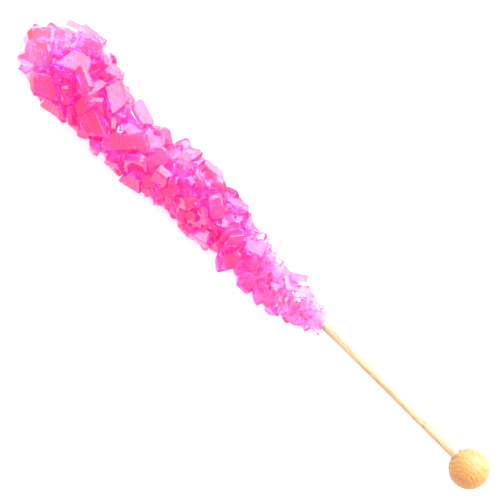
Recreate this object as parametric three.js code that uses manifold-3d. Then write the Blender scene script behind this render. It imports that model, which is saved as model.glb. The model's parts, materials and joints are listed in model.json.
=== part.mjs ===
// A rock candy stick: pink sugar crystals grown together round one end of a thin wooden stick,
// with a round wooden bead pressed on the other end as a handle.
//
// Units are millimetres and +Z is up. The stick lies on its side, as it does on a table: it rests
// on the bead and on the undersides of the lowest crystals, so it rises a little towards the candy.
// +X runs from the bead to the candy's tip. The origin is the middle of the footprint, on the table.

import * as THREE from "three";
import { ConvexGeometry } from "three/addons/geometries/ConvexGeometry.js";
import { mergeVertices } from "three/addons/utils/BufferGeometryUtils.js";
import Module from "manifold-3d";

const wasm = await Module();
wasm.setup();

// ---------------------------------------------------------------------------------------------
// Driving dimensions. "along" is always the distance from the bead's centre, along the stick.

const BEAD_RADIUS = 5.8;
const BEAD_BORE_DEPTH = 7.5; // how far the stick is pressed into the bead, from the bead's near side
const STICK_RADIUS = 1.4;
const FIT_GAP = 0.3; // clearance round the stick, in the bead and in the candy

const CANDY_START = 58; // where the first crystals sit
const CANDY_END = 172.2; // the tip of the last crystal
const STICK_END = 158; // the stick stops a little short of the tip, under the crystals

const NECK_RADIUS = 6.2; // outer radius of the crystals towards the neck
const HEAD_RADIUS = 11.1; // and at the thickest place, near the tip, before the waves are added
const HEAD_ALONG = 156; // where that is; the tip is rounded off from there
const TIP_ROUNDNESS = 0.6; // 0.5 rounds the tip as an ellipse, and more makes it slimmer
const NECK_ROUNDING = 18; // length over which the neck swells to its full radius
const NECK_OPENING = 0.48; // share of the neck's radius at its very start
const WAVE_HEIGHT = 0.75; // the candy swells and narrows in slow waves
const WAVE_LENGTH = 50;
const WAVE_CREST = 106; // one crest of those waves
const WANDER_MEAN = 0.6; // the candy's middle wanders to the side of the stick, towards +Y
const WANDER_SWING = 1.1;
const WANDER_LENGTH = 56;
const WANDER_CREST = 74;

const BODY_SHARE = 0.66; // the grown-together mass under the crystals, as a share of the outer radius
const BODY_INSET = 3; // how far short of the tip that mass ends

const BEAD_FLAT_DEPTH = 0.12; // how much the bead is worn flat where it rests
const HEAD_REST_RADIUS = 9.97; // distance from the stick's axis down to the table, at HEAD_ALONG

// Crystals scattered over the whole candy.
const CRYSTAL_COUNT = 124;
const GOLDEN_ANGLE = Math.PI * (3 - Math.sqrt(5));
const SMALLEST_CRYSTAL = 4.2; // length at the neck
const LARGEST_CRYSTAL = 8.6; // length at the head
const STATION_POWER = 1.2; // above 1, the crystals crowd towards the neck

// The large crystals that stand out on the shown side. side is the distance from the stick's axis,
// seen from above, towards +Y. heading turns the long axis from +X towards +Y, seen from above, and
// pitch lifts its far end. Angles are in degrees.
const LARGE_CRYSTALS = [
  { along: 167.2, side: -0.8, length: 8.8, width: 5.6, depth: 4.6, heading: 48, pitch: 0 },
  { along: 163.2, side: 3.2, length: 7.6, width: 6.8, depth: 5.4, heading: 78, pitch: 6 },
  { along: 161.0, side: -8.8, length: 8.2, width: 4.2, depth: 4.2, heading: 18, pitch: 4 },
  { along: 155.6, side: -7.6, length: 8.2, width: 4.4, depth: 4.6, heading: 25, pitch: -6 },
  { along: 166.4, side: 6.6, length: 6.2, width: 3.4, depth: 4.0, heading: -16, pitch: 0 },
  { along: 147.1, side: -7.4, length: 7.8, width: 4.6, depth: 4.6, heading: 14, pitch: 5 },
  { along: 141.8, side: -4.2, length: 9.4, width: 5.6, depth: 4.8, heading: -31, pitch: 8 },
  { along: 134.1, side: -7.4, length: 9.2, width: 4.2, depth: 4.2, heading: -11, pitch: -4 },
  { along: 157.6, side: 7.0, length: 8.8, width: 6.8, depth: 5.4, heading: 30, pitch: 0 },
  { along: 151.8, side: 8.9, length: 7.4, width: 4.4, depth: 4.6, heading: 12, pitch: 0 },
  { along: 140.8, side: 5.0, length: 7.6, width: 6.2, depth: 5.2, heading: -21, pitch: 4 },
  { along: 130.7, side: 2.6, length: 13.6, width: 4.2, depth: 4.4, heading: 47, pitch: 2 },
  { along: 136.4, side: 8.8, length: 5.0, width: 3.8, depth: 4.0, heading: -80, pitch: 0 },
  { along: 129.6, side: 8.4, length: 5.8, width: 4.2, depth: 4.2, heading: 22, pitch: -6 },
  { along: 150.2, side: -1.2, length: 8.0, width: 3.6, depth: 4.0, heading: -24, pitch: 6 },
  { along: 122.5, side: 8.2, length: 5.4, width: 4.4, depth: 4.4, heading: 12, pitch: 10 },
  { along: 119.6, side: -7.2, length: 5.4, width: 2.6, depth: 2.6, heading: 68, pitch: 4 },
  { along: 116.0, side: -6.6, length: 5.8, width: 3.8, depth: 3.8, heading: 77, pitch: 12 },
  { along: 107.7, side: -7.2, length: 10.0, width: 5.4, depth: 4.6, heading: 7, pitch: -2 },
  { along: 101.8, side: -2.2, length: 7.6, width: 4.0, depth: 4.2, heading: -36, pitch: 4 },
  { along: 96.9, side: -5.8, length: 6.0, width: 3.4, depth: 3.4, heading: 20, pitch: 8 },
  { along: 98.2, side: 6.4, length: 5.6, width: 4.2, depth: 4.0, heading: 12, pitch: 6 },
  { along: 88.6, side: 5.6, length: 8.0, width: 4.8, depth: 4.2, heading: 60, pitch: -4 },
  { along: 80.4, side: 5.2, length: 5.6, width: 4.2, depth: 3.8, heading: -86, pitch: 0 },
  { along: 75.0, side: 5.6, length: 5.0, width: 3.8, depth: 3.6, heading: 76, pitch: -6 },
  { along: 82.5, side: -5.4, length: 5.0, width: 3.2, depth: 3.2, heading: -68, pitch: 8 },
  { along: 71.1, side: -3.4, length: 6.0, width: 4.2, depth: 3.6, heading: 33, pitch: 4 },
];
const CLEARING = 0.42; // share of a large crystal's length that is kept free of scattered ones
const LARGE_SEAT = 0.34; // share of its depth by which a large crystal's middle lies under the surface

// Facets of one crystal. The large ones are flattened prisms with two cut edges and bevelled ends.
const CUT_EDGE = 0.42; // share of a half side that the cut takes off
const END_BEVEL = 0.2; // share of the length that each bevelled end takes
const END_SCALE = 0.62; // size of the end facet beside the section
const END_SLANT = 0.16; // how far the ends lean, as a share of the width
const SMALL_TAPER = 0.8; // the small ones are plain blocks that narrow a little towards one end

const LATHE_SEGMENTS = 12; // round the body of the candy
const BODY_STEPS = 16; // along it
const WOOD_SEGMENTS = 24; // round the bead and the stick
const BEAD_RINGS = 14;
const WELD = 1e-4; // vertices this close are one
const DEGREE = Math.PI / 180;

// ---------------------------------------------------------------------------------------------
// Small helpers

// A repeatable number from 0 to 1 for each crystal and purpose.
function chance(index, purpose) {
  const wave = Math.sin(index * 12.9898 + purpose * 78.233) * 43758.5453;
  return wave - Math.floor(wave);
}

function between(low, high, share) {
  return low + (high - low) * share;
}

// A closed three.js geometry as a solid.
function solidOf(geometry) {
  const positions = new THREE.BufferGeometry().setAttribute("position", geometry.getAttribute("position"));
  if (geometry.index) positions.setIndex(geometry.index);
  const welded = mergeVertices(positions, WELD);
  const mesh = new wasm.Mesh({
    numProp: 3,
    vertProperties: welded.attributes.position.array,
    triVerts: new Uint32Array(welded.index.array),
  });
  return new wasm.Manifold(mesh);
}

// The solid's outer shell alone, so that small pockets shut in between crystals are filled.
function filled(solid) {
  const shells = solid.decompose();
  return shells.reduce((largest, shell) => (shell.volume() > largest.volume() ? shell : largest));
}

// A solid as a flat-shaded three.js geometry.
function geometryOf(solid) {
  const { vertProperties, numProp, triVerts } = solid.getMesh();
  const geometry = new THREE.BufferGeometry();
  const interleaved = new THREE.InterleavedBuffer(vertProperties, numProp);
  geometry.setAttribute("position", new THREE.InterleavedBufferAttribute(interleaved, 3, 0));
  geometry.setIndex(new THREE.BufferAttribute(triVerts, 1));
  const flat = geometry.toNonIndexed();
  flat.computeVertexNormals();
  return flat;
}

// A turned shape about the stick's axis. profile lists [along, radius] from one end to the other.
function turned(profile, segments) {
  const points = profile.map(([along, radius]) => new THREE.Vector2(radius, along));
  return new THREE.LatheGeometry(points, segments).rotateZ(-Math.PI / 2);
}

// ---------------------------------------------------------------------------------------------
// The outer shape of the candy: a slim club, narrow at the neck, widest near the tip

function intoTip(along) {
  return THREE.MathUtils.clamp((along - HEAD_ALONG) / (CANDY_END - HEAD_ALONG), 0, 1);
}

function clubRadius(along) {
  const grown = THREE.MathUtils.clamp((along - CANDY_START) / (HEAD_ALONG - CANDY_START), 0, 1);
  const wave = WAVE_HEIGHT * Math.cos((2 * Math.PI * (along - WAVE_CREST)) / WAVE_LENGTH);
  const full = between(NECK_RADIUS, HEAD_RADIUS, grown) + wave;
  const intoNeck = THREE.MathUtils.clamp(1 - (along - CANDY_START) / NECK_ROUNDING, 0, 1);
  const neck = Math.sqrt(1 - (1 - NECK_OPENING ** 2) * intoNeck ** 2);
  return full * neck * (1 - intoTip(along) ** 2) ** TIP_ROUNDNESS;
}

function wander(along) {
  return WANDER_MEAN + WANDER_SWING * Math.cos((2 * Math.PI * (along - WANDER_CREST)) / WANDER_LENGTH);
}

// The outward direction of that surface at a distance along the stick and an angle round it.
// The angle starts at +Y and turns towards +Z.
function outwardAt(along, around) {
  const forwards = intoTip(along);
  const sideways = Math.sqrt(1 - forwards ** 2);
  return new THREE.Vector3(forwards, sideways * Math.cos(around), sideways * Math.sin(around));
}

// ---------------------------------------------------------------------------------------------
// One crystal

// A form is a section, in units of half the width and depth, and the rings that carry it from one
// end to the other, as [share of the length, scale of the section].
const LARGE_FORM = {
  section: [
    [-1, CUT_EDGE - 1],
    [CUT_EDGE - 1, -1],
    [1, -1],
    [1, 1 - CUT_EDGE],
    [1 - CUT_EDGE, 1],
    [-1, 1],
  ],
  rings: [
    [-0.5, END_SCALE],
    [END_BEVEL - 0.5, 1],
    [0.5 - END_BEVEL, 1],
    [0.5, END_SCALE],
  ],
};
const SMALL_FORM = {
  section: [
    [-1, -1],
    [1, -1],
    [1, 1],
    [-1, 1],
  ],
  rings: [
    [-0.5, 1],
    [0.5, SMALL_TAPER],
  ],
};

function crystalGeometry({ length, width, depth }, { section, rings }) {
  const corners = rings.flatMap(([share, scale]) =>
    section.map(([across, over]) => {
      const lean = END_SLANT * width * across;
      const x = share * length + lean;
      return new THREE.Vector3(x, (across * scale * width) / 2, (over * scale * depth) / 2);
    }),
  );
  return new ConvexGeometry(corners);
}

// The turn that lays a crystal's length along heading and its depth as near outward as that allows.
function crystalTurn(heading, outward, roll) {
  const across = new THREE.Vector3().crossVectors(outward, heading).normalize();
  const over = new THREE.Vector3().crossVectors(heading, across);
  const turn = new THREE.Matrix4().makeBasis(heading, across, over);
  return turn.multiply(new THREE.Matrix4().makeRotationX(roll));
}

// ---------------------------------------------------------------------------------------------
// Where the crystals sit

function largeCrystals() {
  return LARGE_CRYSTALS.map((crystal) => {
    const seat = clubRadius(crystal.along) - crystal.depth * LARGE_SEAT;
    const aside = crystal.side - wander(crystal.along);
    const up = Math.sqrt(Math.max(seat ** 2 - aside ** 2, 0));
    const around = Math.atan2(up, aside);
    const turnedBy = crystal.heading * DEGREE;
    const pitch = crystal.pitch * DEGREE;
    const heading = new THREE.Vector3(
      Math.cos(turnedBy) * Math.cos(pitch),
      Math.sin(turnedBy) * Math.cos(pitch),
      Math.sin(pitch),
    );
    const matrix = crystalTurn(heading, outwardAt(crystal.along, around), 0);
    matrix.setPosition(crystal.along, crystal.side, up);
    return { ...crystal, up, geometry: crystalGeometry(crystal, LARGE_FORM).applyMatrix4(matrix) };
  });
}

// A small crystal's long axis: any way round the surface, and mostly leaning outward.
function smallHeading(index, around, outward) {
  const sideways = new THREE.Vector3(0, -Math.sin(around), Math.cos(around));
  const lengthways = new THREE.Vector3().crossVectors(outward, sideways);
  const yaw = 2 * Math.PI * chance(index, 6);
  const rise = between(-0.1, 1.1, chance(index, 7));
  const heading = outward.clone().multiplyScalar(Math.sin(rise));
  heading.addScaledVector(lengthways, Math.cos(yaw) * Math.cos(rise));
  heading.addScaledVector(sideways, Math.sin(yaw) * Math.cos(rise));
  return heading.normalize();
}

// How far a geometry reaches from its own origin in a direction.
function reach(geometry, direction) {
  const positions = geometry.getAttribute("position");
  const corner = new THREE.Vector3();
  let furthest = 0;
  for (let i = 0; i < positions.count; i += 1) {
    furthest = Math.max(furthest, corner.fromBufferAttribute(positions, i).dot(direction));
  }
  return furthest;
}

// A spiral of small crystals. Each is pushed out until its furthest corner reaches the club's
// surface, less a little where chance says so.
function smallCrystals(large) {
  const scattered = [];
  for (let i = 0; i < CRYSTAL_COUNT; i += 1) {
    const share = ((i + chance(i, 1)) / CRYSTAL_COUNT) ** STATION_POWER;
    const along = between(CANDY_START + 1, CANDY_END - 0.5, share);
    const around = i * GOLDEN_ANGLE + 0.5 * chance(i, 2);
    const outward = outwardAt(along, around);

    const grown = (along - CANDY_START) / (CANDY_END - CANDY_START);
    const length = between(SMALLEST_CRYSTAL, LARGEST_CRYSTAL, grown) * between(0.8, 1.15, chance(i, 3));
    const width = length * between(0.5, 0.72, chance(i, 4));
    const depth = length * between(0.42, 0.6, chance(i, 5));
    const heading = smallHeading(i, around, outward);
    const turn = crystalTurn(heading, outward, between(-0.6, 0.6, chance(i, 8)));
    const geometry = crystalGeometry({ length, width, depth }, SMALL_FORM).applyMatrix4(turn);

    const radius = clubRadius(along);
    const place = new THREE.Vector3(along, radius * Math.cos(around), radius * Math.sin(around));
    place.y += wander(along);
    place.addScaledVector(outward, -reach(geometry, outward) * between(0.95, 1.3, chance(i, 9)));
    const crowded = large.some((other) => {
      const apart = Math.hypot(place.x - other.along, place.y - other.side, place.z - other.up);
      return apart < other.length * CLEARING;
    });
    if (!crowded) scattered.push(geometry.translate(place.x, place.y, place.z));
  }
  return scattered;
}

// ---------------------------------------------------------------------------------------------
// The three pieces, in the stick's own frame: its axis is the X axis, from the bead's centre

function candyBody() {
  const profile = [[CANDY_START, 0]];
  for (let i = 0; i <= BODY_STEPS; i += 1) {
    const share = i / BODY_STEPS;
    const radius = clubRadius(between(CANDY_START, CANDY_END, share)) * BODY_SHARE;
    profile.push([between(CANDY_START, CANDY_END - BODY_INSET, share), radius]);
  }
  return turned(profile, LATHE_SEGMENTS);
}

function rodProfile(start, end, radius) {
  return [
    [start, 0],
    [start, radius],
    [end, radius],
    [end, 0],
  ];
}

function beadProfile() {
  const profile = [];
  for (let i = 0; i <= BEAD_RINGS; i += 1) {
    const angle = (Math.PI * i) / BEAD_RINGS;
    profile.push([-BEAD_RADIUS * Math.cos(angle), BEAD_RADIUS * Math.sin(angle)]);
  }
  return profile;
}

// ---------------------------------------------------------------------------------------------
// Putting it together

const part = new THREE.Group();
const lying = new THREE.Group(); // the stick's own frame, laid down on the table
part.add(lying);
const beadRest = BEAD_RADIUS - BEAD_FLAT_DEPTH;
lying.rotation.y = -Math.asin((HEAD_REST_RADIUS - beadRest) / HEAD_ALONG);
lying.position.z = beadRest;
lying.updateMatrix();

// Everything under the table top, in the stick's own frame. It trims what would reach through.
const tableSize = 2 * CANDY_END;
const tableTop = new THREE.BoxGeometry(2 * tableSize, tableSize, tableSize).translate(0, 0, -tableSize / 2);
const underTable = solidOf(tableTop.applyMatrix4(lying.matrix.clone().invert()));

const stickStart = BEAD_RADIUS - BEAD_BORE_DEPTH;
const stickGeometry = turned(rodProfile(stickStart, STICK_END, STICK_RADIUS), WOOD_SEGMENTS);
const holeProfile = rodProfile(stickStart - FIT_GAP, STICK_END + FIT_GAP, STICK_RADIUS + FIT_GAP);
const hole = solidOf(turned(holeProfile, WOOD_SEGMENTS)); // through the candy, and into the bead

const beadSolid = solidOf(turned(beadProfile(), WOOD_SEGMENTS)).subtract(hole).subtract(underTable);

const large = largeCrystals();
const crystals = [...large.map((crystal) => crystal.geometry), ...smallCrystals(large)];
const grownTogether = crystals.reduce((mass, crystal) => mass.add(solidOf(crystal)), solidOf(candyBody()));
const candySolid = filled(filled(grownTogether).subtract(hole).subtract(underTable));

const sugar = new THREE.MeshStandardMaterial({ color: 0xff5cb4, roughness: 0.12, metalness: 0 });
sugar.flatShading = true;
const paleWood = new THREE.MeshStandardMaterial({ color: 0xf2cf9a, roughness: 0.6, metalness: 0 });
const beadWood = new THREE.MeshStandardMaterial({ color: 0xf0b66c, roughness: 0.45, metalness: 0 });

function addPiece(name, geometry, material) {
  const mesh = new THREE.Mesh(geometry, material);
  mesh.name = name;
  lying.add(mesh);
}

addPiece("candy", geometryOf(candySolid), sugar);
addPiece("stick", stickGeometry, paleWood);
addPiece("bead", geometryOf(beadSolid), beadWood);

// The origin is the middle of the footprint.
const footprint = new THREE.Box3().setFromObject(part, true).getCenter(new THREE.Vector3());
lying.position.x -= footprint.x;
lying.position.y -= footprint.y;

export default part;
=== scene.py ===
# %% [markdown]
# # A rock candy stick
#
# Rock candy is sugar that was left to crystallise on a stick in a strong warm syrup. The grown candy
# is a club of large, clear, hard crystals, dyed hot pink, on a thin wooden stick with a round wooden
# bead as its handle. This lesson makes it in Blender: first where the pieces lie, then the crystals
# and the grains that they grew from, then the wood, and last the studio.

import json
from types import SimpleNamespace

import bmesh
import bpy
import numpy as np
from mathutils import Matrix, Vector

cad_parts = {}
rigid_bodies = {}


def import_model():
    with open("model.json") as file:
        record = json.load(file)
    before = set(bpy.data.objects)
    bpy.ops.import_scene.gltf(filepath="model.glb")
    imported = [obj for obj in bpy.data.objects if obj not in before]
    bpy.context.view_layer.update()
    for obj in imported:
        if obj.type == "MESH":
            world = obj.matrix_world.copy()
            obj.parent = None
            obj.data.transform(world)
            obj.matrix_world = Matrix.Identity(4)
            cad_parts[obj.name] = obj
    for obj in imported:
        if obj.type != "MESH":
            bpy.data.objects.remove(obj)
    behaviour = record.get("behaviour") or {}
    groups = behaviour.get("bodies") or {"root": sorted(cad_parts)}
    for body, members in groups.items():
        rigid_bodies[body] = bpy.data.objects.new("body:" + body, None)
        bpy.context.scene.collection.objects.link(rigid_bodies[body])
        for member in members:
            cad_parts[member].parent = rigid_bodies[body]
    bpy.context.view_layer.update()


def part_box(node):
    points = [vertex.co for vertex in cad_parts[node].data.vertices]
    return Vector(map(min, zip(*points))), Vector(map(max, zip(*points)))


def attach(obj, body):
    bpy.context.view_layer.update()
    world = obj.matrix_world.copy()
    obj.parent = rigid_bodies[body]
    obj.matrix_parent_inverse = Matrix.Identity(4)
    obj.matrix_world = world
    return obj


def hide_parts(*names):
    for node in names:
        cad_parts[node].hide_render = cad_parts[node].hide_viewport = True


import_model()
MM = 0.001

# %% [markdown]
# ## Where the pieces lie
#
# The stick lies on its side and rises a little from the bead to the candy, because the candy is
# thicker than the bead. All the pieces are turned round the stick or grown on it, so it helps to
# work in the stick's own directions: along it, to its side, and upwards from it. The bead's box
# gives its centre, and the stick's box gives the direction from there.

# %% The stick's own directions
bead_low, bead_high = (np.array(corner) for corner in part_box("bead"))
stick_low, stick_high = (np.array(corner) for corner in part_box("stick"))

BEAD_RADIUS = (bead_high[1] - bead_low[1]) / 2
STICK_RADIUS = (stick_high[1] - stick_low[1]) / 2
bead_centre = np.array(
    [bead_low[0] + BEAD_RADIUS, (bead_low[1] + bead_high[1]) / 2, bead_high[2] - BEAD_RADIUS]
)
stick_end = np.array([stick_high[0], bead_centre[1], stick_high[2] - STICK_RADIUS])

ALONG = (stick_end - bead_centre) / np.linalg.norm(stick_end - bead_centre)
SIDE = np.array([0.0, 1.0, 0.0])
UP = np.cross(ALONG, SIDE)
STICK_LENGTH = float(np.linalg.norm(stick_end - bead_centre))
print("bead centre", bead_centre.round(4), "stick direction", ALONG.round(4))
print("stick length from the bead's centre", round(STICK_LENGTH, 4))


def in_place(points):
    """Points given as (along, side, up) from the bead's centre, as points of the model's frame."""
    return bead_centre + points @ np.stack([ALONG, SIDE, UP])


# %% [markdown]
# ## Turning arrays into pieces
#
# Each shape below is worked out as whole numpy arrays: a grid of points, and a grid of faces that
# joins neighbours. Blender takes both in one call. A crystal wants flat facets and the wood wants
# smooth ones, so that is one of the settings.

# %% Make a mesh object from arrays


def make_piece(name, points, faces, smooth, material=None):
    """A mesh object at the origin. points is (n, 3) in metres, and faces is a list of index lists."""
    mesh = bpy.data.meshes.new(name)
    mesh.from_pydata(points.tolist(), [], faces)
    mesh.polygons.foreach_set("use_smooth", np.full(len(mesh.polygons), smooth))
    mesh.update()
    piece = bpy.data.objects.new(name, mesh)
    bpy.context.scene.collection.objects.link(piece)
    if material:
        mesh.materials.append(material)
    print(f"{name}: {len(points)} points, {len(faces)} faces")
    return piece


def grid_faces(rows, columns):
    """Quads of a rows by columns grid of points whose last column joins up with its first."""
    row, column = np.meshgrid(np.arange(rows - 1), np.arange(columns), indexing="ij")
    beside = (column + 1) % columns
    this_row, next_row = row * columns, (row + 1) * columns
    quads = [this_row + column, this_row + beside, next_row + beside, next_row + column]
    return np.stack(quads, -1).reshape(-1, 4)


# %% [markdown]
# ## The club shape
#
# The candy starts thin at the neck, thickens in slow waves and is widest just before its rounded
# tip. Its middle swings from side to side by about a millimetre. Two functions of the distance
# along the stick say all of this, and every crystal is seated by them.

# %% The outer radius and the wandering middle
CANDY_START, CANDY_END = 58 * MM, 172.2 * MM
HEAD_ALONG = 156 * MM
FIRST_RADIUS, GROWTH = 6.2 * MM, 4.9 * MM
WAVE_HEIGHT, WAVE_CREST, WAVE_LENGTH = 0.75 * MM, 106 * MM, 50 * MM
NECK_LENGTH, NECK_PINCH = 18 * MM, 0.77
TIP_POWER = 0.6
MIDDLE_ASIDE, SWING, SWING_CREST, SWING_LENGTH = 0.6 * MM, 1.1 * MM, 74 * MM, 56 * MM
ALMOST_NOTHING = 1e-6


def share_of_tip(along):
    """0 up to the head, then rising evenly to 1 at the tip."""
    return np.clip((along - HEAD_ALONG) / (CANDY_END - HEAD_ALONG), 0, 1)


def club_radius(along):
    """Even growth from neck to head, plus a slow wave, times a rounded neck, times a rounded tip."""
    grown = np.clip((along - CANDY_START) / (HEAD_ALONG - CANDY_START), 0, 1)
    wave = WAVE_HEIGHT * np.cos(2 * np.pi * (along - WAVE_CREST) / WAVE_LENGTH)
    into_neck = np.clip(1 - (along - CANDY_START) / NECK_LENGTH, 0, 1)
    neck = np.sqrt(1 - NECK_PINCH * into_neck**2)
    tip = np.maximum(1 - share_of_tip(along) ** 2, ALMOST_NOTHING) ** TIP_POWER
    return (FIRST_RADIUS + GROWTH * grown + wave) * neck * tip


def wander(along):
    """How far the candy's middle lies to the side of the stick: a slow wave about a small offset."""
    return MIDDLE_ASIDE + SWING * np.cos(2 * np.pi * (along - SWING_CREST) / SWING_LENGTH)


print("radius in mm:", (club_radius(np.linspace(60, 170, 12) * MM) / MM).round(1))

# %% [markdown]
# ## One crystal, many times
#
# A sugar crystal is a short slanted prism. Its section is a rectangle with its corners cut by
# different amounts, its ends are bevelled and lean, and its edges are a little rounded. A prism is
# a grid: the section's corners one way, and the rings from end to end the other way. Every crystal
# of a set has the same grid, so one array holds them all. Cutting each one by hand from a box would
# work too, but this way numpy makes hundreds at once, no two alike. The crystals deep inside and the
# grains on the stick keep sharp edges, which takes a third of the faces.

# %% The section of a crystal
RECTANGLE = np.array([[-1, -1], [1, -1], [1, 1], [-1, 1]], float)
LONGEST_ROUNDING = 0.3
NO_LENGTH = 1e-9


def to_neighbours(outline):
    """The steps from each corner of an outline back to the last corner, and ahead to the next."""
    return np.roll(outline, 1, axis=-2) - outline, np.roll(outline, -1, axis=-2) - outline


def two_for_one(outline, back, ahead):
    """Each corner of n outlines replaced by two: the corner plus back, and the corner plus ahead."""
    pairs = np.stack([outline + back, outline + ahead], 2)
    return pairs.reshape(len(pairs), -1, 2)


def shortened(step, longest):
    """step cut down to the length longest, or to a fixed share of its own length if that is less."""
    length = np.linalg.norm(step, axis=2, keepdims=True)
    return step / np.maximum(length, NO_LENGTH) * np.minimum(longest, LONGEST_ROUNDING * length)


# %% A whole set of crystals as one array
EDGE_ROUNDNESS = 0.03
CORNER_CUT, SLIGHT_CUT = (0.08, 0.62), 0.2
RINGS_SHARE = np.array([-1.0, -0.98, -0.74, 0.74, 0.98, 1.0])
SHARP_RINGS = [0, 2, 3, 5]
END_SHARE, MOST_LEAN = (0.5, 0.98), 0.55
LENGTH_BEFORE_LEAN = 0.9


def crystal_set(rng, centre, heading, outward, size, roundness=EDGE_ROUNDNESS):
    """
    Points (n, p, 3) of n closed crystals, and the faces that each has. centre, heading and outward
    are (n, 3), and size is (n, 3) as length, width and depth. A point is centre + heading * (share
    of half the length + lean) + across * scale * section x + over * scale * section y. The section
    is a rectangle with each corner cut by a random amount, and roundness rounds the edges that the
    cuts leave. A roundness of 0 keeps them sharp.
    """
    count = len(centre)
    across = np.cross(outward, heading)
    across /= np.linalg.norm(across, axis=1, keepdims=True)
    over = np.cross(heading, across)

    back, ahead = to_neighbours(RECTANGLE)
    cut = rng.uniform(*CORNER_CUT, (count, 4)) * rng.choice([SLIGHT_CUT, 1.0], (count, 4))
    section = two_for_one(RECTANGLE, back * cut[:, :, None] / 2, ahead * cut[:, :, None] / 2)
    if roundness:
        back, ahead = to_neighbours(section)
        section = two_for_one(section, shortened(back, roundness), shortened(ahead, roundness))

    end = rng.uniform(*END_SHARE, (count, 2, 2))
    full = np.ones((count, 2))
    scale = np.stack([end[:, 0] - roundness, end[:, 0], full, full, end[:, 1], end[:, 1] - roundness], 1)
    share = RINGS_SHARE
    if not roundness:
        scale, share = scale[:, SHARP_RINGS], RINGS_SHARE[SHARP_RINGS]
    flat = section[:, None] * scale[:, :, None]
    lean = rng.uniform(-MOST_LEAN, MOST_LEAN, (count, 2, 2))
    leaning = np.where(share[None, :, None] < 0, lean[:, 0][:, None], lean[:, 1][:, None])
    half = size[:, None] / 2
    slope = (flat * leaning[:, :, None] * half[:, :, None, 1:]).sum(-1)
    lengthways = share[None, :, None] * half[:, :, :1] * LENGTH_BEFORE_LEAN + slope

    points = centre[:, None, None] + lengthways[..., None] * heading[:, None, None]
    points = points + (flat[..., 0] * half[:, :, 1:2])[..., None] * across[:, None, None]
    points = points + (flat[..., 1] * half[:, :, 2:3])[..., None] * over[:, None, None]
    rings, corners = points.shape[1:3]
    sides = grid_faces(rings, corners).tolist()
    caps = [list(range(corners))[::-1], list(range((rings - 1) * corners, rings * corners))]
    return points.reshape(count, rings * corners, 3), sides + caps


# %% [markdown]
# ## Where the crystals sit
#
# Crystals crowd all over the club. Walking along it by equal shares of its surface, and turning by
# the golden angle each time, spreads them evenly with no rows. Each lies at its own slant, and is
# pushed outwards until its outermost corner reaches the club's surface.

# %% Places spread over the club
GOLDEN_ANGLE = np.pi * (3 - np.sqrt(5))
STEPS_ALONG = 400
TIP_ALLOWANCE = 1 * MM
UNEVEN_TURN = 0.6


def outward_at(along, around):
    """The club's outward direction, leaning forwards over the tip. around is 0 at the side, then up."""
    forwards = share_of_tip(along)
    sideways = np.sqrt(1 - forwards**2)
    return np.stack([forwards, sideways * np.cos(around), sideways * np.sin(around)], -1)


def spread(rng, count, size_at, start, end):
    """(along, around) of count places from start to end, closer where size_at gives small crystals."""
    fine = np.linspace(start, end, STEPS_ALONG)
    wanted = np.cumsum((club_radius(fine) + TIP_ALLOWANCE) / size_at(fine) ** 2)
    share = (np.arange(count) + rng.random(count)) / count
    along = np.interp(share, (wanted - wanted[0]) / (wanted[-1] - wanted[0]), fine)
    around = np.arange(count) * GOLDEN_ANGLE + rng.uniform(0, UNEVEN_TURN, count)
    return along, around


# %% How each crystal is turned and seated
CORNER_REACH = [0.9, 0.85, 0.85]


def slanted(rng, along, around, least_rise, most_rise):
    """A heading for each place: any way round, risen outward by an angle between the two given."""
    outward = outward_at(along, around)
    sideways = np.stack([np.zeros_like(around), -np.sin(around), np.cos(around)], -1)
    lengthways = np.cross(outward, sideways)
    yaw = rng.uniform(0, 2 * np.pi, len(along))[:, None]
    rise = rng.uniform(least_rise, most_rise, len(along))[:, None]
    level = np.cos(yaw) * lengthways + np.sin(yaw) * sideways
    heading = np.cos(rise) * level + np.sin(rise) * outward
    return heading / np.linalg.norm(heading, axis=1, keepdims=True), outward


def rolled(rng, heading, outward, most):
    """outward turned about heading by up to most, so that a crystal shows an edge as often as a face."""
    turn = rng.uniform(-most, most, len(heading))[:, None]
    across = np.cross(heading, outward)
    return outward * np.cos(turn) + across * np.sin(turn)


def seated(rng, along, around, heading, outward, size, least, most):
    """Centres that put each crystal's outer corner at the club's surface times between least and most."""
    radius = club_radius(along) * rng.uniform(least, most, len(along))
    across = np.cross(outward, heading)
    across /= np.linalg.norm(across, axis=1, keepdims=True)
    over = np.cross(heading, across)
    axes = np.stack([heading, across, over], 1)
    reach = (np.abs((axes * outward[:, None]).sum(-1)) * size / 2 * CORNER_REACH).sum(1)
    sideways = radius * np.cos(around) + wander(along)
    surface = np.stack([along, sideways, radius * np.sin(around)], -1)
    return surface - outward * reach[:, None]


# %% [markdown]
# ## The large crystals
#
# The crystals that stand out on the upper side give this candy its own face, so they are placed one
# by one: a block across the tip, two bars at its shoulder, a long bar across the middle. Each has
# its place, its size and the way it points, seen from above. Its height follows from the club, so
# that it sinks a little into the rest.

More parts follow.
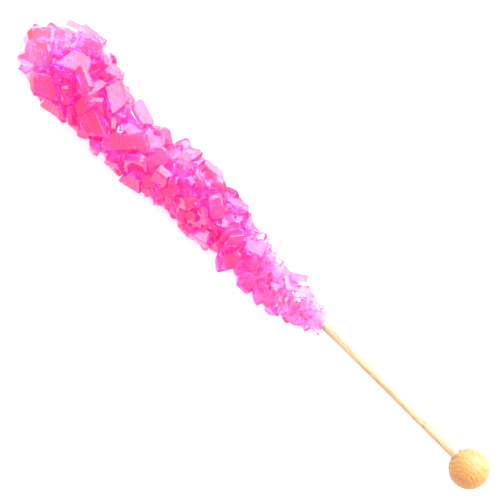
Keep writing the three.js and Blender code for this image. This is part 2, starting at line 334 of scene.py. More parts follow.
# %% The crystals that stand out
LARGE = np.array(
    [  # along, side, length, width, depth in mm, heading and pitch in degrees
        [167.2, -0.8, 8.8, 5.6, 4.6, 48, 0],
        [163.2, 3.2, 7.6, 6.8, 5.4, 78, 6],
        [161.0, -8.8, 8.2, 4.2, 4.2, 18, 4],
        [155.6, -7.6, 8.2, 4.4, 4.6, 25, -6],
        [166.4, 6.6, 6.2, 3.4, 4.0, -16, 0],
        [147.1, -7.4, 7.8, 4.6, 4.6, 14, 5],
        [141.8, -4.2, 9.4, 5.6, 4.8, -31, 8],
        [133.6, -5.0, 7.4, 4.2, 4.2, -18, -4],
        [157.6, 7.0, 8.8, 6.8, 5.4, 30, 0],
        [151.8, 8.9, 7.4, 4.4, 4.6, 12, 0],
        [140.8, 5.0, 7.6, 6.2, 5.2, -21, 4],
        [130.7, 2.6, 13.6, 4.2, 4.4, 47, 2],
        [136.4, 8.8, 5.0, 3.8, 4.0, -80, 0],
        [129.6, 8.4, 5.8, 4.2, 4.2, 22, -6],
        [150.2, -1.2, 8.0, 3.6, 4.0, -24, 6],
        [122.5, 8.2, 5.4, 4.4, 4.4, 12, 10],
        [119.6, -7.2, 5.4, 2.6, 2.6, 68, 4],
        [116.0, -6.6, 5.8, 3.8, 3.8, 77, 12],
        [107.7, -7.2, 10.0, 5.4, 4.6, 7, -2],
        [101.8, -2.2, 7.6, 4.0, 4.2, -36, 4],
        [96.9, -5.8, 6.0, 3.4, 3.4, 20, 8],
        [98.2, 6.4, 5.6, 4.2, 4.0, 12, 6],
        [88.6, 5.6, 8.0, 4.8, 4.2, 60, -4],
        [80.4, 6.2, 5.8, 4.2, 3.8, -80, 0],
        [75.2, 6.6, 5.4, 4.0, 3.6, 70, -6],
        [82.5, -5.4, 5.0, 3.2, 3.2, -68, 8],
        [71.1, -3.4, 6.0, 4.2, 3.6, 33, 4],
    ]
)
SUNK_SHARE = 0.25

large_along, large_side = LARGE[:, 0] * MM, LARGE[:, 1] * MM
large_size = LARGE[:, 2:5] * MM
large_turn, large_pitch = np.radians(LARGE[:, 5]), np.radians(LARGE[:, 6])
large_aside = large_side - wander(large_along)
large_seat = club_radius(large_along) - SUNK_SHARE * large_size[:, 2]
large_up = np.sqrt(np.maximum(large_seat**2 - large_aside**2, 0))
large_centre = np.stack([large_along, large_side, large_up], -1)
level_share = np.cos(large_pitch)
large_heading = np.stack(
    [np.cos(large_turn) * level_share, np.sin(large_turn) * level_share, np.sin(large_pitch)], -1
)
large_outward = outward_at(large_along, np.arctan2(large_up, large_aside))
print(len(LARGE), "large crystals, up to", round(float(large_up.max()) / MM, 1), "mm above the stick")


def clear_of_large(centre, share):
    """True for the centres that lie further from every large crystal than that share of its length."""
    apart = np.linalg.norm(centre[:, None] - large_centre[None], axis=2)
    return (apart > large_size[None, :, 0] * share).all(axis=1)


# %% [markdown]
# ## Clear sugar
#
# A crystal is clear through and through, and the dye shows by how far light travels inside: thin
# edges are nearly white and thick places are deep pink. Absorption in the volume does that. The dye
# takes out green light, about a third as much of the blue, and no red. It isn't spread evenly,
# though, so the skin of each crystal is tinted as well, from pale to deep, by a value kept at each
# point of the mesh. That value also holds painted light and shade: the skin is painted paler on the
# lamp's side and deeper on the far side. Where the syrup dried on a facet its gloss is a little
# duller, in patches.

# %% Helpers for materials


def new_finish(name):
    """A new material with its nodes, its links, its Principled shader and its output at hand."""
    material = bpy.data.materials.new(name)
    material.use_nodes = True
    nodes, links = material.node_tree.nodes, material.node_tree.links
    shader, output = nodes["Principled BSDF"], nodes["Material Output"]
    return SimpleNamespace(material=material, nodes=nodes, links=links, shader=shader, output=output)


def object_place(finish):
    """Object coordinates, in metres from the object's origin."""
    return finish.nodes.new("ShaderNodeTexCoord").outputs["Object"]


def noise(finish, where, size, detail=3.0):
    """A noise with lumps of that size in metres."""
    lumps = finish.nodes.new("ShaderNodeTexNoise")
    lumps.inputs["Scale"].default_value = 1 / size
    lumps.inputs["Detail"].default_value = detail
    finish.links.new(where, lumps.inputs["Vector"])
    return lumps.outputs["Fac"]


def mapped(finish, amount, given, wanted=(0, 1)):
    """amount moved so that the range given becomes the range wanted, and held inside it."""
    change = finish.nodes.new("ShaderNodeMapRange")
    change.inputs["From Min"].default_value, change.inputs["From Max"].default_value = given
    change.inputs["To Min"].default_value, change.inputs["To Max"].default_value = wanted
    finish.links.new(amount, change.inputs["Value"])
    return change.outputs["Result"]


def ramp(finish, amount, stops):
    """Colours for an amount from 0 to 1: stops is a list of (amount, colour)."""
    colours = finish.nodes.new("ShaderNodeValToRGB")
    elements = colours.color_ramp.elements
    for element, (position, colour) in zip(elements, (stops[0], stops[-1])):
        element.position, element.color = position, (*colour, 1)
    for position, colour in stops[1:-1]:
        elements.new(position).color = (*colour, 1)
    finish.links.new(amount, colours.inputs["Fac"])
    return colours.outputs["Color"]


# %% The sugar's material
DYE_THAT_PASSES = (1.0, 0.0, 0.635)
DYE_PER_METRE = 150
PALE_SKIN, DEEP_SKIN = (1.0, 0.96, 1.0), (1.0, 0.255, 0.77)
CLEARNESS, SUGAR_IOR = 0.955, 1.45
DRIED_PATCH, PATCH_RANGE, SUGAR_ROUGHNESS = 1 / 260, (0.4, 0.75), (0.02, 0.14)

clear_sugar = new_finish("clear_sugar")
clear_sugar.shader.inputs["Transmission Weight"].default_value = CLEARNESS
clear_sugar.shader.inputs["IOR"].default_value = SUGAR_IOR
# The skin's tint reads the dye together with painted light and shade: paler on the lamp's side, deeper on the
# far side.
dye_and_painted_shade = clear_sugar.nodes.new("ShaderNodeAttribute")
dye_and_painted_shade.attribute_name = "dye_and_painted_shade"
skin = ramp(clear_sugar, dye_and_painted_shade.outputs["Fac"], [(0.0, PALE_SKIN), (1.0, DEEP_SKIN)])
clear_sugar.links.new(skin, clear_sugar.shader.inputs["Base Color"])
dried = noise(clear_sugar, object_place(clear_sugar), DRIED_PATCH)
gloss = mapped(clear_sugar, dried, PATCH_RANGE, SUGAR_ROUGHNESS)
clear_sugar.links.new(gloss, clear_sugar.shader.inputs["Roughness"])

absorb = clear_sugar.nodes.new("ShaderNodeVolumeAbsorption")
absorb.inputs["Color"].default_value = (*DYE_THAT_PASSES, 1)
absorb.inputs["Density"].default_value = DYE_PER_METRE
clear_sugar.links.new(absorb.outputs["Volume"], clear_sugar.output.inputs["Volume"])
print("1 mm of sugar lets through", round(float(np.exp(-DYE_PER_METRE * MM)), 2), "of green light")

# %% [markdown]
# ## Growing the crystals
#
# The crystals are longer towards the head. Three layers make a full club: main crystals that end
# near its surface, some of them just past it, small ones that fill the gaps between them, and inner
# ones that give the sugar its body. The inner layer stops short of the tip, which is the clearest
# part. A real candy rests on its lowest crystals, so any that would reach below the table are lifted
# onto it.

# %% Grow the layers
SMALLEST_LENGTH, EXTRA_LENGTH = 4.3, 5.0
LEAST_RISE, MOST_RISE = -0.1, 1.15
LENGTH_VARIES, WIDTH_SHARE, DEPTH_SHARE = (0.75, 1.25), (0.5, 0.85), (0.42, 0.7)
MOST_ROLL, LARGE_ROLL = 0.7, 0.3
INNER_END = 155 * MM
rng = np.random.default_rng(11)


def crystal_length(along):
    """Length that grows evenly from neck to head."""
    grown = (along - CANDY_START) / (CANDY_END - CANDY_START)
    return (SMALLEST_LENGTH + EXTRA_LENGTH * grown) * MM


def grown_crystals(count, length_share, least, most, clearing, roundness=EDGE_ROUNDNESS, end=CANDY_END):
    """
    Points and faces of count crystals spread over the club. Each is seated between least and most
    of the club's radius, and left out if it is nearer a large one than clearing times its length.
    """
    along, around = spread(rng, count, crystal_length, CANDY_START, end)
    heading, outward = slanted(rng, along, around, LEAST_RISE, MOST_RISE)
    length = crystal_length(along) * length_share * rng.uniform(*LENGTH_VARIES, count)
    proportions = [np.ones(count), rng.uniform(*WIDTH_SHARE, count), rng.uniform(*DEPTH_SHARE, count)]
    size = length[:, None] * np.stack(proportions, -1)
    facing = rolled(rng, heading, outward, MOST_ROLL)
    centre = seated(rng, along, around, heading, outward, size, least, most)
    keep = clear_of_large(centre, clearing)
    return crystal_set(rng, centre[keep], heading[keep], facing[keep], size[keep], roundness)


large_facing = rolled(rng, large_heading, large_outward, LARGE_ROLL)
large = crystal_set(rng, large_centre, large_heading, large_facing, large_size)
main = grown_crystals(230, length_share=1.0, least=0.8, most=1.04, clearing=0.36)
small = grown_crystals(400, length_share=0.48, least=0.72, most=0.94, clearing=0.22)
inner = grown_crystals(420, length_share=0.7, least=0.42, most=0.62, clearing=0.0, roundness=0, end=INNER_END)

# %% Rest them on the table
TABLE_GAP = 0.02 * MM


def on_the_table(points):
    """Points in the model's frame, with each crystal that reaches below the table lifted onto it."""
    placed = in_place(points)
    lift = np.maximum(TABLE_GAP - placed[..., 2].min(axis=1), 0)
    placed[..., 2] += lift[:, None]
    print(int((lift > 0).sum()), "of", len(lift), "lifted by up to", round(float(lift.max()) / MM, 2), "mm")
    return placed


all_crystals = [(on_the_table(points), faces) for points, faces in (large, main, small, inner)]

# %% [markdown]
# ## Growing into one another
#
# Where two crystals have grown into each other there is no air between them, so light passes from
# one to the other without bending. Overlapping closed shapes would show their hidden faces, so a
# Boolean modifier joins them all: the first crystal is the base, and the others are its operands.
# What comes out can hold sealed pockets of air, and grains that touch nothing. Both are closed
# shells of their own, so it is enough to find each point's shell and to keep the largest one.

# %% Keep the largest shell


def shell_labels(mesh):
    """
    The lowest point number in each point's own shell: every edge hands the lower label of its two
    ends to the other, and each label then looks up its own label, until nothing changes.
    """
    ends = np.empty(len(mesh.edges) * 2, np.int32)
    mesh.edges.foreach_get("vertices", ends)
    ends = ends.reshape(-1, 2)
    labels = np.arange(len(mesh.vertices))
    while True:
        before = labels.copy()
        lower = labels[ends].min(axis=1)
        np.minimum.at(labels, ends[:, 0], lower)
        np.minimum.at(labels, ends[:, 1], lower)
        labels = labels[labels]
        if (labels == before).all():
            return labels


def keep_largest(mesh):
    """Drop every shell but the one with the most points."""
    labels = shell_labels(mesh)
    names, sizes = np.unique(labels, return_counts=True)
    shape = bmesh.new()
    shape.from_mesh(mesh)
    shape.verts.ensure_lookup_table()
    spare = [shape.verts[i] for i in np.flatnonzero(labels != names[sizes.argmax()])]
    bmesh.ops.delete(shape, geom=spare, context="VERTS")
    shape.to_mesh(mesh)
    shape.free()
    print(len(names), "shells, of which the largest is kept, with", int(sizes.max()), "points")


# %% Unite the crystals


def united(name, groups, material):
    """One closed mesh object from groups of closed shapes: each is ((n, points, 3) array, faces)."""
    shapes = [(shape, faces) for points, faces in groups for shape in points]
    parts = bpy.data.collections.new("crystals_to_join")
    bpy.context.scene.collection.children.link(parts)
    for shape, faces in shapes[1:]:
        mesh = bpy.data.meshes.new("crystal")
        mesh.from_pydata(shape.tolist(), [], faces)
        parts.objects.link(bpy.data.objects.new("crystal", mesh))
    piece = make_piece(name, *shapes[0], False)
    join = piece.modifiers.new("join", "BOOLEAN")
    join.operation, join.solver = "UNION", "MANIFOLD"
    join.operand_type, join.collection = "COLLECTION", parts
    finished = piece.evaluated_get(bpy.context.evaluated_depsgraph_get())
    joined = bpy.data.meshes.new_from_object(finished)
    piece.modifiers.clear()
    piece.data = joined
    joined.materials.clear()
    joined.materials.append(material)
    for part in list(parts.objects):
        bpy.data.meshes.remove(part.data)
    bpy.data.collections.remove(parts)
    keep_largest(joined)
    print(f"{name}: {len(shapes)} crystals joined into {len(joined.polygons)} faces")
    return piece


clear_crystals = united("clear_crystals", all_crystals, clear_sugar.material)

# %% [markdown]
# ## The seed crystals
#
# A stick is wetted and rolled in sugar before it goes into the syrup, because crystals start to
# grow on those grains. They stay on the wood under the clear crystals as a rough, cloudy, pink
# crust, paler in places. They are the same crystals again, small, sharp, opaque and pressed against
# the stick, and smaller still at the neck. A bumpy finish on the stick would be quicker to make, but
# its smooth outline would still show through the clear sugar as a tube.

# %% Grains on the stick
SEEDS = 540
FIRST_SEED, LAST_SEED, SEED_SHIFT = CANDY_START + 0.9 * MM, 160.5 * MM, 1
SEED_LENGTH, SEED_WIDTH, SEED_DEPTH = (1.6, 2.8), (0.6, 0.9), (0.5, 0.8)
SEED_REACH = (0.2, 1.1)
SMALL_SEED_SHARE, SMALL_SEEDS_OVER = 0.72, 12 * MM
LEAST_SEED_RISE, MOST_SEED_RISE = -0.3, 1.2

seed_along = np.linspace(FIRST_SEED, LAST_SEED, SEEDS) + rng.uniform(-SEED_SHIFT, SEED_SHIFT, SEEDS) * MM
seed_around = np.arange(SEEDS) * GOLDEN_ANGLE
seed_growth = np.clip((seed_along - CANDY_START) / SMALL_SEEDS_OVER, SMALL_SEED_SHARE, 1) * MM
seed_length = rng.uniform(*SEED_LENGTH, SEEDS) * seed_growth
seed_shares = [np.ones(SEEDS), rng.uniform(*SEED_WIDTH, SEEDS), rng.uniform(*SEED_DEPTH, SEEDS)]
seed_size = seed_length[:, None] * np.stack(seed_shares, -1)
seed_heading, seed_outward = slanted(rng, seed_along, seed_around, LEAST_SEED_RISE, MOST_SEED_RISE)
seed_reach = STICK_RADIUS + rng.uniform(*SEED_REACH, SEEDS) * seed_growth
seed_centre = np.stack([seed_along, seed_reach * np.cos(seed_around), seed_reach * np.sin(seed_around)], -1)
seed_facing = rolled(rng, seed_heading, seed_outward, MOST_ROLL)
seeds, seed_faces = crystal_set(rng, seed_centre, seed_heading, seed_facing, seed_size, roundness=0)

# %% The crust's material
CRUST_LUMP, CRUST_ROUGHNESS = 1 / 170, 0.5
CRUST_COLOURS = [(0.4, (1.0, 0.3, 0.66)), (0.66, (1.0, 0.5, 0.72))]

seed_sugar = new_finish("seed_sugar")
seed_sugar.shader.inputs["Roughness"].default_value = CRUST_ROUGHNESS
lumps = noise(seed_sugar, object_place(seed_sugar), CRUST_LUMP, 2.0)
seed_sugar.links.new(ramp(seed_sugar, lumps, CRUST_COLOURS), seed_sugar.shader.inputs["Base Color"])
seed_crust = united("seed_crust", [(in_place(seeds), seed_faces)], seed_sugar.material)

# %% [markdown]
# ## Where the dye gathered, and painted light and shade
#
# The dye is paler over the tip and at the neck, with patches all over. On top of that the skin is
# painted paler towards the lamp's side, as painted light, and deeper towards the far side, as painted
# shade. Each point of the mesh keeps how much dye and painted shade its skin holds, as an attribute
# that the material reads. It could be painted on by hand, but a rule for each point is easier to change.

# %% Dye and painted shade at each point
# The side term is painted light and shade, not dye: less on the lamp's side, more on the far side.
MIDDLE_DYE, PAINTED_SIDE_SHADE, TIP_LOSS, NECK_LOSS = 1.04, 0.48, 1.4, 0.9
LEAST_DYE = 0.05
PALE_NECK_LENGTH = 38 * MM
PALE_TIP_START, PALE_TIP_FADE = 158.5 * MM, 7 * MM
THINNEST_CLUB = 3 * MM
BROAD_PATCH, BROAD_ALONG, BROAD_ACROSS = 0.25, 4.1 * MM, 2.7 * MM
FINE_PATCH, FINE_ALONG, FINE_ACROSS = 0.15, 1.7 * MM, 1.3 * MM


def patches_at(along, side):
    """A broad wave along the stick times one across it, plus a weaker, finer wave on the slant."""
    broad = BROAD_PATCH * np.sin(along / BROAD_ALONG) * np.cos(side / BROAD_ACROSS)
    return broad + FINE_PATCH * np.sin(along / FINE_ALONG + side / FINE_ACROSS)


def dye_and_painted_shade_at(points):
    """From 0, pale, to 1, deep: less over the tip and at the neck, painted paler towards the lamp's side and
    deeper towards the far side as painted light and shade, plus patches.
    """
    offset = points - bead_centre
    along, side = offset @ ALONG, offset @ SIDE - wander(offset @ ALONG)
    radius = np.maximum(club_radius(np.clip(along, CANDY_START, CANDY_END)), THINNEST_CLUB)
    neck = np.clip(1 - (along - CANDY_START) / PALE_NECK_LENGTH, 0, 1)
    tip = np.clip((along - PALE_TIP_START) / PALE_TIP_FADE, 0, 1)
    # The side term paints light on the lamp's side and shade on the far side.
    even = MIDDLE_DYE + PAINTED_SIDE_SHADE * (side / radius) - TIP_LOSS * tip - NECK_LOSS * neck
    return np.clip(even + patches_at(along, side), LEAST_DYE, 1)


# Each point's dye, with the painted light and shade across the sides, goes into one attribute.
corners = np.empty(len(clear_crystals.data.vertices) * 3)
clear_crystals.data.vertices.foreach_get("co", corners)
dye_and_shade_values = dye_and_painted_shade_at(corners.reshape(-1, 3)).astype(np.float32)
clear_crystals.data.attributes.new("dye_and_painted_shade", "FLOAT", "POINT").data.foreach_set("value", dye_and_shade_values)
print("mean dye", round(float(dye_and_shade_values.mean()), 2))

# %% [markdown]
# ## Turned wood
#
# The stick and the bead are both turned on a lathe, so each is a profile carried once round the
# stick's direction. The stick was never quite round, so its radius swells and shrinks by a few
# hundredths of a millimetre. A Screw modifier could turn the profiles, but it couldn't do that. The
# bead is a ball with a drilled hole that has a soft rim, and it stands on a tiny worn flat.

# %% Carry a profile round the stick


def turned(along, radius, segments, waver=0.0):
    """
    Points and faces of a profile carried round the stick: along and radius give it. waver is the
    share by which the radius rises and falls: the mean of a wave with three crests round the turn,
    one with five, both twisting slowly along the stick, and one along it. Both ends are closed.
    """
    around = np.linspace(0, 2 * np.pi, segments, endpoint=False)[None]
    along, radius = np.asarray(along)[:, None], np.asarray(radius)[:, None]
    unevenness = np.sin(3 * around + along / (9 * MM)) + np.sin(5 * around - along / (5 * MM))
    unevenness = unevenness + np.sin(along / (7 * MM))
    grown = radius * (1 + waver * unevenness / 3)
    grid = np.stack([along + 0 * grown, grown * np.cos(around), grown * np.sin(around)], -1)
    rows = grid.shape[0]
    faces = grid_faces(rows, segments).tolist()
    faces += [list(range(segments))[::-1], list(range((rows - 1) * segments, rows * segments))]
    return grid.reshape(-1, 3), faces


# %% The two profiles
# In mm along the stick: two rings round its end inside the bead, then the body, then one at the tip.
STICK_RINGS, STICK_SEGMENTS, STICK_WAVER = 120, 48, 0.035
stick_body = np.linspace(-1.5, STICK_LENGTH / MM, STICK_RINGS)
stick_along = np.concatenate([[-1.7, -1.6], stick_body, [STICK_LENGTH / MM + 0.2]]) * MM
stick_radius = np.full(len(stick_along), STICK_RADIUS)
stick_radius[[0, 1, -1]] = 1.0 * MM, 1.25 * MM, 1.2 * MM

# In mm along the stick and out from it: the rounded rim of the hole, and the hole's straight wall.
BEAD_RINGS, BEAD_SEGMENTS = 72, 96
HOLE_RADIUS = STICK_RADIUS + 0.12 * MM
AT_THE_BACK, AT_THE_RIM = 0.03, np.pi - 0.37
rim = [[5.36, 1.98], [5.30, 1.82], [5.18, 1.68]]
hole = [[5.0, HOLE_RADIUS / MM], [3.6, HOLE_RADIUS / MM]]
lip = np.array(rim + hole) * MM
polar = np.linspace(AT_THE_BACK, AT_THE_RIM, BEAD_RINGS)
bead_along = np.concatenate([-BEAD_RADIUS * np.cos(polar), lip[:, 0]])
bead_round = np.concatenate([BEAD_RADIUS * np.sin(polar), lip[:, 1]])
print("hole in the bead:", round(2 * HOLE_RADIUS / MM, 2), "mm wide")

# %% [markdown]
# ## The stick's grain
#
# Wood has long fibres, so a noise stretched along the stick draws them: fine streaks, broad paler
# bands and a few dark flecks. A Mapping node lays the pattern along the wood's own direction, and
# the fibres also make the surface a little rough. A pattern that fills space, unlike a wrapped one,
# has no seam. The part that hung in the syrup soaked up its pink, so the grain fades into pink where
# the candy starts.

# %% Helpers for wood
BUMP_STRENGTH = 0.5


def laid_along(finish, centre, turn, stretch):
    """Object coordinates moved to centre, turned, and squeezed by stretch in each direction."""
    laid = finish.nodes.new("ShaderNodeMapping")
    laid.vector_type = "TEXTURE"
    laid.inputs["Location"].default_value = centre
    laid.inputs["Rotation"].default_value = turn
    laid.inputs["Scale"].default_value = stretch
    finish.links.new(object_place(finish), laid.inputs["Vector"])
    return laid.outputs["Vector"]


def one_direction(finish, where, letter):
    """The X, Y or Z of a place."""
    split = finish.nodes.new("ShaderNodeSeparateXYZ")
    finish.links.new(where, split.inputs["Vector"])
    return split.outputs[letter]


def blended(finish, kind, first, second, amount=1.0):
    """Two colours mixed in the way of kind. second is a colour or an output, and so is amount."""
    mix = finish.nodes.new("ShaderNodeMix")
    mix.data_type, mix.blend_type = "RGBA", kind
    finish.links.new(first, mix.inputs["A"])
    for socket, given in ((mix.inputs[0], amount), (mix.inputs["B"], second)):
        if isinstance(given, bpy.types.NodeSocket):
            finish.links.new(given, socket)
        else:
            socket.default_value = given
    return mix.outputs["Result"]


def roughen(finish, height, roughness, depth):
    """Roughness over that range, and bumps depth deep, both from one height."""
    rough = mapped(finish, height, (0, 1), roughness)
    finish.links.new(rough, finish.shader.inputs["Roughness"])
    bump = finish.nodes.new("ShaderNodeBump")
    bump.inputs["Strength"].default_value = BUMP_STRENGTH
    bump.inputs["Distance"].default_value = depth
    finish.links.new(height, bump.inputs["Height"])
    finish.links.new(bump.outputs["Normal"], finish.shader.inputs["Normal"])


# %% The stick's material
FIBRE_STRETCH, FLECK_STRETCH = 34.0, 7.0
FIBRE, BAND, FLECK = 0.22 * MM, 1.1 * MM, 0.3 * MM
BAND_SHARE = 0.4
FIBRE_COLOURS = [(0.34, (0.2, 0.11, 0.06)), (0.5, (0.37, 0.245, 0.15)), (0.66, (0.5, 0.38, 0.22))]
BAND_COLOURS = [(0.35, (0.31, 0.19, 0.115)), (0.65, (0.46, 0.345, 0.21))]
FLECK_COLOURS = [(0.64, (1.0, 1.0, 1.0)), (0.72, (0.42, 0.3, 0.2))]
SOAK_START, SOAK_END = CANDY_START - 1.2 * MM, CANDY_START + 0.4 * MM
SOAKED_PINK = (1.0, 0.66, 0.86, 1.0)
STICK_ROUGHNESS, STICK_BUMPS = (0.5, 0.8), 0.06 * MM
tilt = (0.0, -float(np.arcsin(ALONG[2])), 0.0)

stick_wood = new_finish("stick_wood")
along_grain = laid_along(stick_wood, tuple(bead_centre), tilt, (FIBRE_STRETCH, 1.0, 1.0))
fleck_place = laid_along(stick_wood, tuple(bead_centre), tilt, (FLECK_STRETCH, 1.0, 1.0))
fibres = noise(stick_wood, along_grain, FIBRE, 4.0)
fine = ramp(stick_wood, fibres, FIBRE_COLOURS)
broad = ramp(stick_wood, noise(stick_wood, along_grain, BAND, 2.0), BAND_COLOURS)
dark = ramp(stick_wood, noise(stick_wood, fleck_place, FLECK, 1.0), FLECK_COLOURS)
bare = blended(stick_wood, "MULTIPLY", blended(stick_wood, "MIX", fine, broad, BAND_SHARE), dark)
soak_range = SOAK_START / FIBRE_STRETCH, SOAK_END / FIBRE_STRETCH
soaked = mapped(stick_wood, one_direction(stick_wood, along_grain, "X"), soak_range)
wood_colour = blended(stick_wood, "MIX", bare, SOAKED_PINK, soaked)
stick_wood.links.new(wood_colour, stick_wood.shader.inputs["Base Color"])
roughen(stick_wood, fibres, STICK_ROUGHNESS, STICK_BUMPS)

# %% [markdown]
# ## The bead's grain
#
# The bead is cut from a thicker piece, so its growth rings come out on the ball as arcs about a
# common axis, a little uneven. Rings are what a Wave texture draws. Pores run along the stick as
# short dark dashes. A ramp across the ball tints the whole with painted light and shade: paler and
# whiter on the lamp's side, a deeper orange on the far side.

# %% The bead's material
RING_CENTRE = tuple(bead_centre + np.array([-0.4, 4.4, 3.4]) * MM)
RING_TURN, RING_WIDTH, WAVES_PER_RADIAN = (-0.62, 0.1, 0.0), 0.95 * MM, 0.314
RING_DISTORTION, RING_DETAIL, RING_DETAIL_SCALE = 3.4, 2.0, 0.8
RING_COLOURS = [(0.0, (0.385, 0.18, 0.051)), (0.7, (0.35, 0.158, 0.044)), (1.0, (0.27, 0.112, 0.028))]
PORE, PORE_TURN, PORE_STRETCH = 0.3 * MM, (0.0, 0.0, 0.08), (6.0, 1.0, 1.0)
PORE_COLOURS = [(0.34, (0.6, 0.5, 0.38)), (0.45, (0.98, 0.97, 0.96)), (0.72, (1.12, 1.14, 1.18))]
# Painted light and shade across the ball: pale and whitened on the lamp's side, deeper orange on the far
# side.
PAINTED_LIGHT_AND_SHADE_TINTS = [(0.1, (1.14, 1.27, 1.65)), (0.5, (1.03, 1.1, 1.0)), (0.9, (0.96, 0.86, 0.64))]
BEAD_ROUGHNESS, BEAD_BUMPS = (0.42, 0.7), 0.05 * MM

bead_wood = new_finish("bead_wood")
rings = bead_wood.nodes.new("ShaderNodeTexWave")
rings.wave_type, rings.rings_direction, rings.wave_profile = "RINGS", "Z", "SAW"
rings.inputs["Scale"].default_value = WAVES_PER_RADIAN / RING_WIDTH
rings.inputs["Distortion"].default_value = RING_DISTORTION
rings.inputs["Detail"].default_value = RING_DETAIL
rings.inputs["Detail Scale"].default_value = RING_DETAIL_SCALE
ring_place = laid_along(bead_wood, RING_CENTRE, RING_TURN, (1.0, 1.0, 1.0))
bead_wood.links.new(ring_place, rings.inputs["Vector"])
pore_place = laid_along(bead_wood, tuple(bead_centre), PORE_TURN, PORE_STRETCH)
pores = noise(bead_wood, pore_place, PORE)
ball_place = laid_along(bead_wood, tuple(bead_centre), (0.0, 0.0, 0.0), (1.0, BEAD_RADIUS, 1.0))
# A place across the ball, from the lamp's side to the far side, which steers the painted light and shade.
across_ball = mapped(bead_wood, one_direction(bead_wood, ball_place, "Y"), (-1, 1))
ring_colour = ramp(bead_wood, rings.outputs["Fac"], RING_COLOURS)
speckled = blended(bead_wood, "MULTIPLY", ring_colour, ramp(bead_wood, pores, PORE_COLOURS))
# The grain times painted light on the lamp's side and painted shade on the far side.
grain_with_painted_light = blended(bead_wood, "MULTIPLY", speckled, ramp(bead_wood, across_ball, PAINTED_LIGHT_AND_SHADE_TINTS))
bead_wood.links.new(grain_with_painted_light, bead_wood.shader.inputs["Base Color"])
roughen(bead_wood, pores, BEAD_ROUGHNESS, BEAD_BUMPS)

# %% Turn the two pieces
points, faces = turned(stick_along, stick_radius, STICK_SEGMENTS, STICK_WAVER)
stick = make_piece("wooden_stick", in_place(points), faces, True, stick_wood.material)
points, faces = turned(bead_along, bead_round, BEAD_SEGMENTS)
bead_points = in_place(points)
bead_points[:, 2] = np.maximum(bead_points[:, 2], 0)
bead = make_piece("wooden_bead", bead_points, faces, True, bead_wood.material)

# %% [markdown]
# ## Joining the imported model
#
# Each new piece rides on the model's one body and stands in for the plain piece it was made after.
# The slot names say what each is made of, but nothing here uses them. The crust lies
# inside the candy, so it is listed with the candy's node and slot name.

# %% Ride on the model
for piece, node, slot in (
    (clear_crystals, "candy", "sugar_crystal"),
    (seed_crust, "candy", "sugar_crystal"),
    (stick, "stick", "stick_wood"),
    (bead, "bead", "bead_wood"),
):
    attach(piece, "root")
    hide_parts(node)
    print(piece.name, "stands in for", node)

# %% [markdown]
# ## The studio
#
# Clear pink sugar needs light from all round, or its facets mirror a dark room and turn grey. A
# bright white world and a white floor give that, and one wide soft lamp to the side shapes the
# facets and the bead. A wide lamp is kinder than a small one, which would burn white patches into
# every facet that faces it.

# %% Floor, world and lamp
FLOOR_REACH, FLOOR_WHITE, FLOOR_ROUGHNESS = 2.0, 0.95, 0.8
WORLD_STRENGTH = 0.85
FRAME_MIDDLE = np.array([86.07, -0.155, 0.0]) * MM
LAMP_OFFSET, LAMP_WIDTH, LAMP_POWER = np.array([0.0, -0.62, 0.42]), 1.1, 14

floor_points = np.array([[-1, -1, 0], [1, -1, 0], [1, 1, 0], [-1, 1, 0]]) * FLOOR_REACH
floor_paint = new_finish("floor_paint")
floor_paint.shader.inputs["Base Color"].default_value = (FLOOR_WHITE, FLOOR_WHITE, FLOOR_WHITE, 1)
floor_paint.shader.inputs["Roughness"].default_value = FLOOR_ROUGHNESS
floor = make_piece("floor", floor_points, [[0, 1, 2, 3]], False, floor_paint.material)

world = bpy.data.worlds.new("studio")
bpy.context.scene.world = world
world.use_nodes = True
world.node_tree.nodes["Background"].inputs["Color"].default_value = (1, 1, 1, 1)
world.node_tree.nodes["Background"].inputs["Strength"].default_value = WORLD_STRENGTH


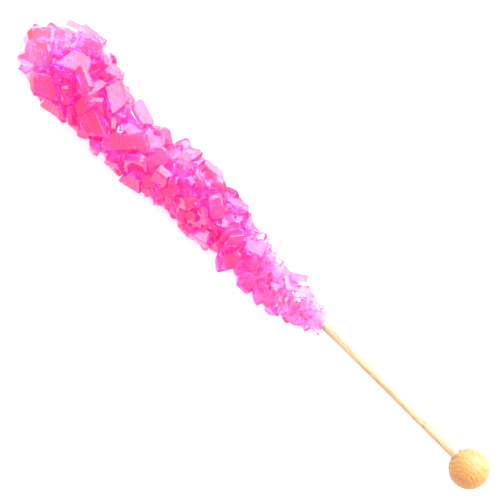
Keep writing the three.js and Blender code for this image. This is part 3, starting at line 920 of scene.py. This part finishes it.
def soft_lamp(name, place, target, width, power):
    """A square area lamp at place that faces target."""
    lamp = bpy.data.lights.new(name, "AREA")
    lamp.size, lamp.energy = width, power
    holder = bpy.data.objects.new(name, lamp)
    holder.location = place
    holder.rotation_euler = (Vector(target) - Vector(place)).to_track_quat("-Z", "Y").to_euler()
    bpy.context.scene.collection.objects.link(holder)


middle = in_place(FRAME_MIDDLE)
soft_lamp("key", middle + LAMP_OFFSET, middle, LAMP_WIDTH, LAMP_POWER)

# %% [markdown]
# ## The camera
#
# The candy is seen from straight above, through a long lens that hardly shows depth, and turned so
# that it lies from corner to corner. A camera's matrix holds its right, its up and its backwards
# direction, so naming the first two settles how it is turned.

# %% Look straight down
LENS, SENSOR_WIDTH, VIEW_WIDTH = 120, 36, 138.2 * MM
right = Vector((-0.70936, -0.70484, 0)).normalized()
upward = Vector((0.70484, -0.70936, 0)).normalized()

camera_data = bpy.data.cameras.new("camera")
camera_data.lens, camera_data.sensor_width = LENS, SENSOR_WIDTH
distance = VIEW_WIDTH * camera_data.lens / camera_data.sensor_width
turn = Matrix((right, upward, (0, 0, 1))).transposed().to_4x4()
camera = bpy.data.objects.new("camera", camera_data)
camera.matrix_world = Matrix.Translation((middle[0], middle[1], middle[2] + distance)) @ turn
bpy.context.scene.collection.objects.link(camera)
bpy.context.scene.camera = camera
print("camera", round(distance, 3), "m above the candy")

# %% [markdown]
# ## Light inside sugar
#
# Light is thrown back and forth many times inside a crystal before it leaves. Each time counts as a
# bounce, and a path that runs out of bounces comes back black, as grey dirt in the sugar. So the
# limits for glossy and clear bounces are set high. The denoiser goes by colour alone here, because
# its other hints keep the speckle inside clear sugar.

# %% Bounces and exposure
BOUNCES_IN_SUGAR, SEE_THROUGH_BOUNCES, SOFT_BOUNCES = 64, 24, 12
scene = bpy.context.scene
scene.view_settings.view_transform = "Standard"
scene.view_settings.exposure = 1.0
scene.cycles.max_bounces = BOUNCES_IN_SUGAR
scene.cycles.transmission_bounces = BOUNCES_IN_SUGAR
scene.cycles.glossy_bounces = BOUNCES_IN_SUGAR
scene.cycles.transparent_max_bounces = SEE_THROUGH_BOUNCES
scene.cycles.diffuse_bounces = SOFT_BOUNCES
scene.cycles.use_denoising = True
scene.cycles.denoising_input_passes = "RGB"
